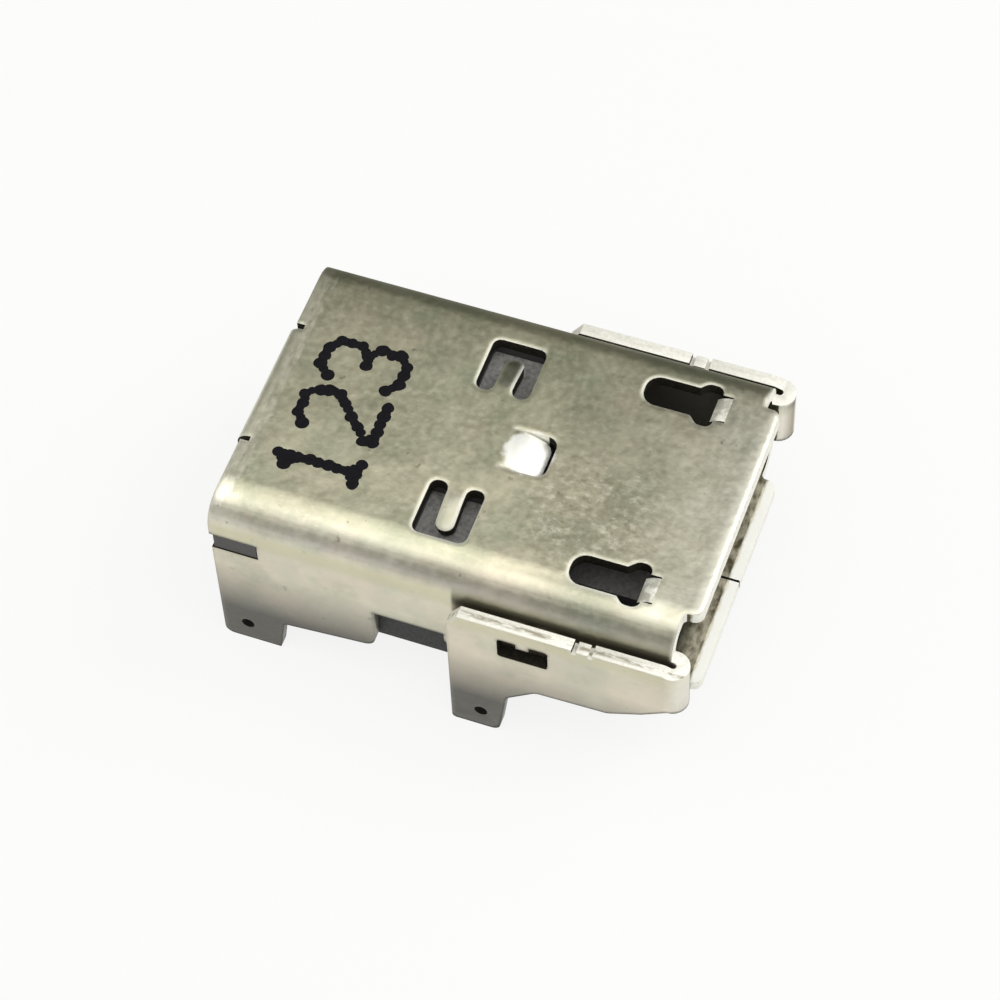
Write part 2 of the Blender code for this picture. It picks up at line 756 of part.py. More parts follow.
def make_shell(material):
    """The stamped and folded shell."""
    tabs = top_tabs()
    blank = stamped_blank()
    blank.normal_update()
    score_blank(blank, tabs)
    blank.normal_update()
    solid = fold_blank(blank, tabs)
    blank.free()
    shell = new_object("shell", solid)
    wall_x = SHELL_WIDTH / 2
    wing_x = wall_x + WING_GAP + SHEET
    wing_rear = FOLD_Y + WING_LENGTH
    cutters = []
    for side in (-1, 1):
        cutters.append(dimple("rear_dimple", side * wall_x, from_rear(REAR_DIMPLE_SETBACK), side))
        cutters.append(dimple("front_dimple", side * wing_x, wing_rear - FRONT_DIMPLE_SETBACK, side))
    combine(shell, cutters, "DIFFERENCE")
    finish(shell, material)
    return shell


# Housing and contacts

def contact_path():
    """Middle of one contact from its tip to the end of its foot, as (y, z)."""
    blade_z = below_top(TONGUE_TOP + TONGUE_THICKNESS) + CONTACT_THICKNESS / 2 - CONTACT_PROUD
    back_y = from_rear(HOUSING_REAR + CONTACT_BAY_DEPTH - CONTACT_BACK_GAP) + CONTACT_THICKNESS / 2
    foot_z = CONTACT_THICKNESS / 2
    return rounded_path([(from_front(TONGUE_TIP + CONTACT_TIP_GAP), blade_z, 0),
                         (back_y, blade_z, CONTACT_RADIUS),
                         (back_y, foot_z, CONTACT_RADIUS),
                         (from_rear(-FOOT_REACH), foot_z, 0)])


def contact_strip(name, index, growth):
    """Strip of one contact, or of its channel when it is grown by a clearance."""
    middle = (index - (CONTACT_COUNT - 1) / 2) * CONTACT_PITCH
    path = contact_path()
    if growth:
        path[0] = path[0] - Vector((growth, 0))
    outline = strip_outline(path, CONTACT_THICKNESS + 2 * growth)
    half = CONTACT_WIDTH / 2 + growth
    return prism(name, outline, "X", middle - half, middle + half)


def make_contacts(material):
    """The row of contacts, each a blade on the tongue with a foot on the board."""
    for index in range(CONTACT_COUNT):
        contact = contact_strip(f"contact_{index + 1}", index, 0)
        finish(contact, material)


def housing_block():
    """Block of the housing, with the upper edges rounded to fit the shell's bends."""
    half = SHELL_WIDTH / 2 - SHEET - CLEARANCE
    top = below_top(SHEET + CLEARANCE)
    radius = BEND_RADIUS - SHEET - CLEARANCE
    outline = rounded_outline([(-half, 0, HOUSING_EDGE), (half, 0, HOUSING_EDGE),
                               (half, top, radius), (-half, top, radius)])
    return prism("housing", outline, "Y", from_rear(HOUSING_FRONT), from_rear(HOUSING_REAR))


def lug(side):
    """Lug of the housing that fills the slot at the rear of one side wall."""
    inner = side * (SHELL_WIDTH / 2 - SHEET * 2)
    outer = side * (SHELL_WIDTH / 2 - LUG_INSET)
    bottom = below_top(REAR_SLOT_TOP + REAR_SLOT_HEIGHT - CLEARANCE)
    return box("lug", (min(inner, outer), from_rear(REAR_SLOT_LENGTH - CLEARANCE), bottom),
               (max(inner, outer), from_rear(HOUSING_REAR), below_top(REAR_SLOT_TOP + CLEARANCE)))


def tongue():
    """Tongue of the housing, with a chamfered tip."""
    tip = from_front(TONGUE_TIP)
    root = from_rear(HOUSING_FRONT - TONGUE_THICKNESS)
    top = below_top(TONGUE_TOP)
    bottom = top - TONGUE_THICKNESS
    outline = [(root, bottom), (tip + TONGUE_CHAMFER, bottom), (tip, bottom + TONGUE_CHAMFER),
               (tip, top - TONGUE_CHAMFER), (tip + TONGUE_CHAMFER, top), (root, top)]
    return prism("tongue", outline, "X", -TONGUE_WIDTH / 2, TONGUE_WIDTH / 2)


def housing_cutters():
    """The contact bay, the step over the tube's floor, the spring pockets and the channels."""
    top = below_top(0)
    half = SHELL_WIDTH / 2
    bay_front = from_rear(HOUSING_REAR + CONTACT_BAY_DEPTH)
    cutters = [box("contact_bay", (-CONTACT_BAY_HALF_WIDTH, bay_front, -SHEET),
                   (CONTACT_BAY_HALF_WIDTH, from_rear(-SHEET), top))]
    step_top = below_top(MOUTH_HEIGHT - SHEET - CLEARANCE)
    cutters.append(box("floor_step", (-half, from_front(0), -SHEET),
                       (half, from_rear(FLOOR_START - STEP_MARGIN), step_top)))
    for side in (-1, 1):
        inner = side * (SPRING_ROOT - POCKET_MARGIN)
        outer = side * (SPRING_SLOT_END + POCKET_MARGIN)
        front = from_rear(SPRING_SLOT_REAR + SPRING_SLOT_LENGTH + POCKET_MARGIN)
        rear = from_rear(SPRING_SLOT_REAR - POCKET_MARGIN)
        floor = below_top(SHEET + POCKET_DEPTH)
        cutters.append(box("spring_pocket", (min(inner, outer), front, floor),
                           (max(inner, outer), rear, top)))
    for index in range(CONTACT_COUNT):
        cutters.append(contact_strip("channel", index, CLEARANCE))
    return cutters


def make_housing(material):
    """The moulded housing with its tongue and lugs."""
    housing = housing_block()
    combine(housing, [tongue(), lug(-1), lug(1)], "UNION")
    combine(housing, housing_cutters(), "DIFFERENCE")
    finish(housing, material)


def clear_scene():
    """Removes every object of the open scene."""
    for thing in list(bpy.data.objects):
        bpy.data.objects.remove(thing)


def main():
    """Builds the whole jack."""
    clear_scene()
    plated_steel = new_material("plated_steel", (0.66, 0.64, 0.56), 0.32, 1.0)
    plastic = new_material("black_plastic", (0.045, 0.045, 0.05), 0.5, 0.0)
    contact_metal = new_material("contact_metal", (0.83, 0.68, 0.38), 0.25, 1.0)
    make_shell(plated_steel)
    make_housing(plastic)
    make_contacts(contact_metal)


main()
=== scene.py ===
"""Looks of the flat-mouth power jack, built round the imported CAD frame."""
import math
import random

import bmesh
import bpy
from mathutils import Matrix, Vector
from mathutils.bvhtree import BVHTree


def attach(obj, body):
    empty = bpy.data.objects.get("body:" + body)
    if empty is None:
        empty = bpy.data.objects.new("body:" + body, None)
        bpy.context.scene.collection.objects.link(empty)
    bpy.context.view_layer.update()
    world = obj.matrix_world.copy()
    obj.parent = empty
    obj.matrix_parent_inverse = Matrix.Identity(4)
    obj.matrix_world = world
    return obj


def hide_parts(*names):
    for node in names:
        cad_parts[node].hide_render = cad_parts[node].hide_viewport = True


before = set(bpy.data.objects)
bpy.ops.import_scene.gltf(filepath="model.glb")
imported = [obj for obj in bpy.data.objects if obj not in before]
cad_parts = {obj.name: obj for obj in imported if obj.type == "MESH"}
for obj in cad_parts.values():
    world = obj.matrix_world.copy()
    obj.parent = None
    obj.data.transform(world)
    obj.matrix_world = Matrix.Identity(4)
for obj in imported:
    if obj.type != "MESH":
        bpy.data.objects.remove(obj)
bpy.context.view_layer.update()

# Camera of the photograph, placed in metres, with its lens and sensor in millimetres
CAMERA_PLACE = (-0.04194, -0.01923, 0.06813)
CAMERA_RIGHT = (0.3414, -0.9395, -0.0287)
CAMERA_UP = (0.7829, 0.2674, 0.5618)
CAMERA_LENS = 126
SENSOR = 36

# Shell sizes that the looks follow, in metres
TOP_Z = 0.0037
FLOOR_Z = -0.00131
SHEET = 0.0003
TUBE_MIDDLE_Z = 0.00215
WALL_X = 0.0038
MOUTH_Y = -0.0072
UPPER_EDGES_Z = 0.0026
LEG_TOP_Z = 0.0012
REAR_EDGE_Y = 0.0033
KEYHOLE_X = 0.00256
WING_X = WALL_X * 1.02

# How the shell's mesh is sorted and softened, in metres and square metres
STEP_IN = 0.000001
MERGE_DISTANCE = 0.0000005
DIMPLE_AREA = 0.00000002
RIM_WIDTH = 0.00005
RIM_SOFTNESS = 0.00018
FLAT_ANGLE = math.radians(0.2)
SMOOTH_ANGLE = math.radians(32)

# Drops of ink, in metres; each is a little higher than the last, so that none lie level
DOT_RADIUS = 0.000158
DOT_STRAY = 0.000018
DROP_HEIGHT = 0.000005
DROP_RISE = 0.000000001
DROP_SINK = 0.000004
DROP_STEPS = 16

# The shell's finishes, in the order of its material slots: plated, sheared edges bright as painted
# highlight, walls and dimples dark as painted shade, and the inside
PLATED, LIT_SHEARED, SHADED_WALL, INNER = range(4)

# Places that the materials follow, in millimetres
FLAKED_CENTRE = (-1.1, -4.6, 3.7)
MIDDLE_TAB_CENTRE = (0, -2.72, 3.6)
U_SLOT_Y = -1.755
WING_EDGE_X = 4.11

# Depth of the bump, in metres
FINE_RELIEF = 0.00001
FAINT_RELIEF = 0.000004

# Brightness along the top, and a painted highlight along the near bend, from the mouth to the
# rear; painted shade on the spring tongues
TOP_TONES = [(0, (1, 1, 1)), (0.25, (0.92, 0.92, 0.9)), (0.5, (1.12, 1.12, 1.08)),
             (1, (1.08, 1.08, 1.06))]
BEND_HIGHLIGHT_TONES = [(0, (0.81, 0.8, 0.86)), (0.3, (0.91, 0.88, 0.97)), (0.5, (0.93, 0.9, 1)),
              (0.74, (1.12, 1.1, 1.24)), (1, (1.3, 1.28, 1.42))]
TONGUE_SHADE = (0.76, 0.77, 0.8)

# Colours of the plating
CLOUDS = [(0, (0.44, 0.45, 0.34)), (1, (0.79, 0.755, 0.6))]
WARM_GREY = (0.67, 0.625, 0.505)
GREENISH = (0.5, 0.54, 0.42)
SANDY = (0.74, 0.67, 0.53)
DULL_PATCH = (0.5, 0.48, 0.37)
PALE_GRAIN = (0.76, 0.745, 0.61)
PALE_STREAK = (0.76, 0.73, 0.6)
PALER_BY_MOUTH = (0.9, 0.875, 0.76)
CHIP_PALE = (0.97, 0.93, 0.8)
CHIP_DARK = (0.42, 0.37, 0.26)
DARK_SPECK = (0.2, 0.19, 0.14)
WALL_PINK = (0.72, 0.645, 0.53)
WALL_GREY = (0.64, 0.6, 0.49)
WARM_BEND = (0.62, 0.59, 0.42)
# Pale scuffs along the rear edge, and a painted highlight along the top's front lip
SCUFF_AND_HIGHLIGHT = (0.9, 0.87, 0.78)
# Painted shade along the far bend
FAR_BEND_SHADE_COLOUR = (0.3, 0.31, 0.2)
# Painted shade, darker towards the legs' feet
LEG_FOOT_SHADE = (0.08, 0.078, 0.07)
# Painted shade on the walls behind the wings, darkest up by the bends
CREVICE_SHADE_HIGH = (0.1, 0.09, 0.06)
CREVICE_SHADE_LOW = (0.34, 0.29, 0.2)
# Painted highlight on the middle spring tab
TAB_HIGHLIGHT_COLOUR = (1, 0.99, 0.97)
# Painted highlight on the upper edges
EDGE_HIGHLIGHT = (0.96, 0.94, 0.88)
SHADED_EDGE = (0.04, 0.038, 0.03)

# Colours of the sheared edges that face the light, with painted highlight, of the walls of the
# holes and the dimples, dark as painted shade, and of the inside
LIT_SHEARED_METAL = [(0, (0.86, 0.84, 0.78)), (1, (0.97, 0.96, 0.92))]
TORN_METAL = (0.3, 0.26, 0.19)
KEYHOLE_STAIN = (0.3, 0.3, 0.24)
SHADED_METAL = [(0, (0.008, 0.007, 0.006)), (1, (0.03, 0.026, 0.02))]
DIMPLE_SHADE = (0.005, 0.004, 0.003)
STAINS = [(0, (0.13, 0.11, 0.06)), (1, (0.64, 0.6, 0.47))]
# Painted shade in the inside corners, a painted highlight on the mouth's lip, and painted shade
# farther inside
INNER_CORNER_SHADE = (0.035, 0.032, 0.015)
MOUTH_LIP_HIGHLIGHT = (1, 1, 0.97)
INSIDE_NEAR_SHADE = (0.03, 0.028, 0.014)
INSIDE_FAR_SHADE = (0.1, 0.096, 0.085)

# Colours of the plastic, the contacts and the ink
PLASTIC = [(0, (0.028, 0.027, 0.029)), (1, (0.06, 0.058, 0.063))]
# Painted sheen on the plastic's upward faces
UPWARD_SHEEN_COLOUR = (0.38, 0.37, 0.37)
# Painted shade on the plastic in the notches, and the lugs' paler plastic
NOTCH_BACK_SHADE = (0.014, 0.014, 0.015)
NOTCH_FACE_SHADE = (0.018, 0.018, 0.019)
LUG_PALE = (0.078, 0.073, 0.078)
GOLD = [(0.3, (0.72, 0.55, 0.27)), (0.7, (0.88, 0.72, 0.42))]
INK = [(0.3, (0.004, 0.004, 0.006)), (0.7, (0.009, 0.008, 0.012))]

# Colours of the studio, and the share of the floor's glow in what is seen of it
FLOOR_GLOW = 0.85
FLOOR_PALE = (0.8, 0.8, 0.79)
FLOOR_DIM = (0.05, 0.05, 0.04)
SKY = (1, 1, 0.87, 1)
BACKDROP = (0.98, 0.98, 0.98, 1)


# Node helpers

class Nodes:
    """Builds one material's node tree."""

    def __init__(self, name):
        self.material = bpy.data.materials.new(name)
        self.material.use_nodes = True
        self.tree = self.material.node_tree
        self.shader = self.tree.nodes["Principled BSDF"]

    def add(self, kind, **values):
        """New node with its properties set."""
        node = self.tree.nodes.new(kind)
        for key, value in values.items():
            setattr(node, key, value)
        return node

    def link(self, out, into):
        self.tree.links.new(out, into)

    def place(self):
        """Object coordinates in millimetres."""
        coordinates = self.add("ShaderNodeTexCoord")
        scale = self.add("ShaderNodeVectorMath", operation="SCALE")
        scale.inputs["Scale"].default_value = 1000
        self.link(coordinates.outputs["Object"], scale.inputs[0])
        return scale.outputs[0]

    def stretched(self, place, stretch):
        """Coordinates scaled by a different factor along each axis."""
        mapping = self.add("ShaderNodeMapping")
        mapping.inputs["Scale"].default_value = stretch
        self.link(place, mapping.inputs["Vector"])
        return mapping.outputs[0]

    def parts(self, vector):
        """The X, Y and Z sockets of a vector."""
        node = self.add("ShaderNodeSeparateXYZ")
        self.link(vector, node.inputs[0])
        return node.outputs["X"], node.outputs["Y"], node.outputs["Z"]

    def noise(self, place, scale, detail=3, rough=0.5):
        node = self.add("ShaderNodeTexNoise")
        node.inputs["Scale"].default_value = scale
        node.inputs["Detail"].default_value = detail
        node.inputs["Roughness"].default_value = rough
        self.link(place, node.inputs["Vector"])
        return node.outputs["Fac"]

    def ramp(self, value, stops):
        """Colour ramp from (position, colour) stops."""
        node = self.add("ShaderNodeValToRGB")
        ramp = node.color_ramp
        while len(ramp.elements) < len(stops):
            ramp.elements.new(0.5)
        for element, (position, colour) in zip(ramp.elements, stops):
            element.position = position
            element.color = (*colour, 1)
        self.link(value, node.inputs["Fac"])
        return node.outputs["Color"]

    def levels(self, value, low, high, out_low=0.0, out_high=1.0):
        """Stretches a value's range, clamped."""
        node = self.add("ShaderNodeMapRange")
        node.inputs["From Min"].default_value = low
        node.inputs["From Max"].default_value = high
        node.inputs["To Min"].default_value = out_low
        node.inputs["To Max"].default_value = out_high
        self.link(value, node.inputs["Value"])
        return node.outputs["Result"]

    def mix(self, factor, first, second, blend="MIX"):
        """Mixes two colours; each is a socket or a colour."""
        node = self.add("ShaderNodeMix", data_type="RGBA", blend_type=blend)
        for socket, value in ((node.inputs[0], factor), (node.inputs[6], first),
                              (node.inputs[7], second)):
            if isinstance(value, bpy.types.NodeSocket):
                self.link(value, socket)
            elif isinstance(value, (int, float)):
                socket.default_value = value
            else:
                socket.default_value = (*value, 1)
        return node.outputs[2]

    def math(self, operation, first, second=0.0):
        node = self.add("ShaderNodeMath", operation=operation)
        for socket, value in zip(node.inputs, (first, second)):
            if isinstance(value, bpy.types.NodeSocket):
                self.link(value, socket)
            else:
                socket.default_value = value
        return node.outputs[0]

    def times(self, first, second):
        return self.math("MULTIPLY", first, second)

    def plus(self, first, second):
        return self.math("ADD", first, second)

    def minus(self, first, second):
        return self.math("SUBTRACT", first, second)

    def larger(self, first, second):
        return self.math("MAXIMUM", first, second)

    def rounded_normal(self, radius):
        """Normal softened near edges, and a mask that is 1 on those edges."""
        bevel = self.add("ShaderNodeBevel", samples=6)
        bevel.inputs["Radius"].default_value = radius
        geometry = self.add("ShaderNodeNewGeometry")
        dot = self.add("ShaderNodeVectorMath", operation="DOT_PRODUCT")
        self.link(bevel.outputs["Normal"], dot.inputs[0])
        self.link(geometry.outputs["True Normal"], dot.inputs[1])
        return bevel.outputs["Normal"], self.levels(dot.outputs["Value"], 0.995, 0.8, 0, 1)

    def bump(self, height, distance, strength, normal=None):
        node = self.add("ShaderNodeBump")
        node.inputs["Distance"].default_value = distance
        node.inputs["Strength"].default_value = strength
        self.link(height, node.inputs["Height"])
        if normal:
            self.link(normal, node.inputs["Normal"])
        self.link(node.outputs["Normal"], self.shader.inputs["Normal"])


def plated_sheet():
    """Satin plated sheet, mottled, with painted highlights on its upper edges, and painted shade
    under its edges and on the legs' lower parts.
    """
    n = Nodes("plated_sheet")
    place = n.place()
    x, y, z = n.parts(place)
    side = n.math("ABSOLUTE", x)
    normal, edge = n.rounded_normal(RIM_SOFTNESS)
    across, along, rise = n.parts(normal)
    under = n.times(edge, n.levels(rise, -0.05, -0.3))
    lit_upper_edge = n.times(n.levels(rise, -0.3, -0.05), n.levels(z, 2.4, 2.9, 0.2, 1))
    lit_upper_edge = n.times(edge, lit_upper_edge)
    turned = n.levels(n.plus(across, along), 0.1, -0.2, 0.15, 1)
    lit_upper_edge = n.times(lit_upper_edge, n.larger(turned, n.levels(x, 1, -1)))
    grain = n.noise(place, 6, 4, 0.55)
    patch = n.noise(place, 1.7, 3, 0.55)
    cloud = n.noise(place, 0.5, 3, 0.55)
    base = mottled_metal(n, place, (grain, patch, cloud), y, z)
    # Brightness along the top, a painted highlight along the near bend and painted shade on the
    # spring tongues
    bend = n.times(n.levels(x, -3.0, -3.5), n.levels(z, 3.1, 3.4))
    reach = n.levels(y, -7.5, 3.5)
    tone_with_painted_light = n.mix(bend, n.ramp(reach, TOP_TONES), n.ramp(reach, BEND_HIGHLIGHT_TONES))
    tone_with_painted_light = n.mix(spring_tongue(n, side, y), tone_with_painted_light, TONGUE_SHADE)
    base = n.mix(n.levels(z, 2.9, 3.4), base, n.mix(1, base, tone_with_painted_light, "MULTIPLY"))
    # Painted shade along the far bend
    far_bend_shade = n.times(n.levels(x, 2.8, 3.5, 0, 0.6), n.levels(x, 3.95, 3.85))
    base = n.mix(n.times(far_bend_shade, n.levels(z, 2.6, 3.1)), base, FAR_BEND_SHADE_COLOUR)
    # Painted shade, darker towards the legs' feet
    base = n.mix(n.levels(z, 1.75, -0.1, 0, 0.92), base, LEG_FOOT_SHADE)
    # Painted shade on the walls behind the wings
    crevice_shade_colour = n.mix(n.levels(z, 2.9, 2.7), CREVICE_SHADE_HIGH, CREVICE_SHADE_LOW)
    crevice_shade = crevice(n, side, y, z)
    base = n.mix(crevice_shade, base, crevice_shade_colour)
    # Painted highlight on the middle spring tab
    tab_highlight = middle_tab(n, place)
    base = n.mix(tab_highlight, base, TAB_HIGHLIGHT_COLOUR)
    # Painted highlight on the edges that face up and towards the near side; painted shade under
    # the edges
    base = n.mix(n.times(lit_upper_edge, 0.9), base, EDGE_HIGHLIGHT)
    base = n.mix(under, base, SHADED_EDGE)
    n.link(base, n.shader.inputs["Base Color"])
    dull = n.larger(n.larger(lit_upper_edge, tab_highlight), crevice_shade)
    n.link(n.levels(dull, 0, 1, 1, 0.4), n.shader.inputs["Metallic"])
    rough = n.plus(n.levels(grain, 0.3, 0.7, 0.33, 0.43), n.times(edge, 0.2))
    n.link(rough, n.shader.inputs["Roughness"])
    relief = n.plus(n.times(grain, 0.4), n.times(cloud, 4))
    relief = n.plus(relief, patch)
    n.bump(n.minus(relief, rolled_edges(n, x, y)), FINE_RELIEF, 1, normal)
    return n.material


def mottled_metal(n, place, noises, y, z):
    """Colour of the plating: clouded and streaked, paler by the mouth, chipped on the top."""
    grain, patch, cloud = noises
    streak = n.noise(n.stretched(place, (4.0, 0.8, 4.0)), 1.6, 3, 0.55)
    speck = n.noise(place, 3.3, 2, 0.5)
    flake = n.noise(n.stretched(place, (1.4, 1, 1)), 4.5, 5, 0.68)
    region = n.noise(place, 0.95, 3)
    patchy_region = n.levels(n.plus(y, n.times(region, 1.6)), -4.7, -6.0)
    patchy_region = n.times(patchy_region, n.levels(z, 3.66, 3.695))
    # A painted highlight along the top's front lip, and pale scuffs along the rear edge
    lit_lip = n.levels(n.plus(y, n.times(grain, 0.3)), -7.15, -7.5, 0, 0.65)
    uneven = n.noise(n.stretched(place, (0.5, 2, 1)), 3, 4, 0.65)
    scuffed = n.plus(y, n.times(uneven, 1.6))
    rear = n.times(n.levels(scuffed, 3.95, 4.25, 0, 0.7), n.levels(z, 3.5, 3.65))
    base = n.ramp(n.levels(cloud, 0.36, 0.64), CLOUDS)
    base = n.mix(n.levels(region, 0.4, 0.62, 0, 0.5), base, WARM_GREY)
    tint = n.noise(place, 0.62, 4, 0.6)
    base = n.mix(n.levels(tint, 0.5, 0.62, 0, 0.5), base, GREENISH)
    base = n.mix(n.levels(tint, 0.48, 0.38, 0, 0.45), base, SANDY)
    base = n.mix(n.levels(patch, 0.44, 0.66, 0, 0.4), base, DULL_PATCH)
    base = n.mix(n.levels(grain, 0.45, 0.7, 0, 0.35), base, PALE_GRAIN)
    base = n.mix(n.levels(streak, 0.52, 0.75, 0, 0.3), base, PALE_STREAK)
    base = n.mix(n.times(patchy_region, n.levels(patch, 0.3, 0.6, 0.8, 0.35)), base, PALER_BY_MOUTH)
    chipped = n.larger(flaked(n, place), n.levels(region, 0.5, 0.62, 0.08, 0.3))
    chipped = n.times(chipped, n.levels(z, 3.5, 3.65, 0.3, 1))
    pale = n.levels(flake, 0.52, 0.63, 0, 0.72)
    dark = n.levels(flake, 0.47, 0.37, 0, 0.55)
    base = n.mix(n.times(pale, chipped), base, CHIP_PALE)
    base = n.mix(n.times(dark, chipped), base, CHIP_DARK)
    base = n.mix(n.levels(speck, 0.7, 0.75, 0, 0.5), base, DARK_SPECK)
    pink = n.times(n.levels(z, 3.0, 2.4), n.levels(region, 0.42, 0.6, 0.35, 0.8))
    base = n.mix(pink, base, n.mix(n.levels(tint, 0.42, 0.58), WALL_PINK, WALL_GREY))
    warm = n.times(n.levels(z, 3.3, 3.1, 0, 0.7), n.levels(z, 2.6, 2.8))
    base = n.mix(warm, base, WARM_BEND)
    return n.mix(n.larger(lit_lip, rear), base, SCUFF_AND_HIGHLIGHT)


def flaked(n, place):
    """Mask of the part of the top where the plating has chipped most."""
    return n.levels(distance(n, place, FLAKED_CENTRE), 2.4, 0.9)


def distance(n, place, centre):
    """Distance of a place from a centre, in millimetres."""
    off = n.add("ShaderNodeVectorMath", operation="SUBTRACT")
    n.link(place, off.inputs[0])
    off.inputs[1].default_value = centre
    length = n.add("ShaderNodeVectorMath", operation="LENGTH")
    n.link(off.outputs[0], length.inputs[0])
    return length.outputs["Value"]


def rolled_edges(n, x, y):
    """Height that the top loses towards its bends and towards the mouth."""
    def bowl(over, rate):
        over = n.larger(over, 0)
        return n.times(n.times(over, over), rate)

    bend = n.levels(x, -2.7, -3.9, 0, 26)
    bend.node.interpolation_type = "SMOOTHSTEP"
    crown = n.plus(bowl(n.minus(2, x), 0.45), bowl(n.minus(x, 1.5), 1.5))
    mouth = bowl(n.minus(-7.4, y), 36)
    return n.plus(bend, n.plus(crown, mouth))


def middle_tab(n, place):
    """Mask of the painted highlight on the round of the spring tab in the middle of the top."""
    uneven = n.times(n.noise(place, 6, 3), 0.3)
    return n.levels(n.plus(distance(n, place, MIDDLE_TAB_CENTRE), uneven), 0.79, 0.69)


def spring_tongue(n, side, y):
    """Mask of the narrow tongue inside each U slot of the top."""
    across = n.levels(n.math("ABSOLUTE", n.minus(y, U_SLOT_Y)), 0.4, 0.3)
    along = n.times(n.levels(side, 1.45, 1.6), n.levels(side, 2.9, 2.8))
    return n.times(across, along)


def crevice(n, side, y, z):
    """Mask of the painted shade on the walls behind the wings."""
    flat = n.times(n.levels(side, 3.55, 3.78), n.levels(side, 3.9, 3.82))
    level = n.times(n.levels(z, 3.45, 3.0), n.levels(z, 1.1, 1.7))
    return n.times(flat, n.times(n.levels(y, -2.2, -2.27), level))


def cut_edge():
    """Sheared edge of the sheet that faces the light, its pale metal brightened as painted
    highlight, with a torn grey line in the middle of the wings'.
    """
    n = Nodes("cut_edge")
    place = n.place()
    x, y, _ = n.parts(place)
    side = n.math("ABSOLUTE", x)
    grain = n.noise(place, 14, 4, 0.6)
    base = n.ramp(n.levels(grain, 0.35, 0.65), LIT_SHEARED_METAL)
    aside = n.math("ABSOLUTE", n.minus(side, WING_EDGE_X))
    torn = n.levels(n.noise(n.stretched(place, (3, 0.6, 3)), 2.4, 4, 0.7), 0.44, 0.58, 0, 0.85)
    torn = n.times(torn, n.levels(aside, 0.09, 0.03))
    base = n.mix(n.times(torn, n.levels(x, 1, -1, 0.2, 1)), base, TORN_METAL)
    keyhole = n.times(n.levels(y, -6.9, -6.8), n.levels(side, 3.2, 3.0))
    keyhole = n.times(keyhole, n.levels(n.noise(place, 5, 3), 0.4, 0.56, 0, 0.6))
    base = n.mix(n.times(keyhole, n.levels(side, 1.5, 1.6)), base, KEYHOLE_STAIN)
    n.link(base, n.shader.inputs["Base Color"])
    n.shader.inputs["Metallic"].default_value = 0.3
    n.link(n.levels(grain, 0.3, 0.7, 0.42, 0.6), n.shader.inputs["Roughness"])
    n.bump(grain, FINE_RELIEF, 0.5)
    return n.material


def hole_wall():
    """Wall of a hole, of a leg's dimple or of a sheared edge facing away from the light, painted
    dark as shade, and rough.
    """
    n = Nodes("hole_wall")
    place = n.place()
    _, _, z = n.parts(place)
    grain = n.noise(place, 12, 4, 0.6)
    base = n.ramp(n.levels(grain, 0.3, 0.7), SHADED_METAL)
    base = n.mix(n.levels(z, 0, -0.1), base, DIMPLE_SHADE)
    n.link(base, n.shader.inputs["Base Color"])
    n.shader.inputs["Metallic"].default_value = 0.1
    n.shader.inputs["Specular IOR Level"].default_value = 0.1
    n.link(n.levels(grain, 0.3, 0.7, 0.6, 0.8), n.shader.inputs["Roughness"])
    n.bump(grain, FINE_RELIEF, 0.5)
    return n.material


def inner_sheet():
    """Inside of the shell: stained near the mouth, with a painted highlight on the mouth's lip and
    painted shade in the corners and farther in.
    """
    n = Nodes("inner_sheet")
    place = n.place()
    x, y, _ = n.parts(place)
    grain = n.noise(n.stretched(place, (0.6, 1, 0.6)), 4, 4, 0.6)
    stain_shade_and_highlight = n.ramp(n.levels(grain, 0.38, 0.6), STAINS)
    # Painted shade in the inside corners and a painted highlight on the mouth's lip
    corner = n.levels(n.math("ABSOLUTE", x), 2.6, 3.25)
    stain_shade_and_highlight = n.mix(corner, stain_shade_and_highlight, INNER_CORNER_SHADE)
    lit_lip = n.levels(n.plus(y, n.times(grain, 0.2)), -7.4, -7.46)
    stain_shade_and_highlight = n.mix(lit_lip, stain_shade_and_highlight, MOUTH_LIP_HIGHLIGHT)
    # Painted shade farther inside
    shade_inside = n.mix(n.levels(y, -6.4, -5.8), INSIDE_NEAR_SHADE, INSIDE_FAR_SHADE)
    base = n.mix(n.levels(y, -7.25, -6.9), stain_shade_and_highlight, shade_inside)
    n.link(base, n.shader.inputs["Base Color"])
    n.link(n.levels(n.larger(lit_lip, corner), 0, 1, 0.4, 0), n.shader.inputs["Metallic"])
    n.link(n.levels(corner, 0, 1, 0.5, 0.1), n.shader.inputs["Specular IOR Level"])
    n.link(n.levels(grain, 0.3, 0.7, 0.4, 0.55), n.shader.inputs["Roughness"])
    rolled = n.levels(y, -7.48, -7.75, 0, 14)
    n.bump(n.minus(n.times(grain, 0.8), rolled), FINE_RELIEF, 1)
    return n.material


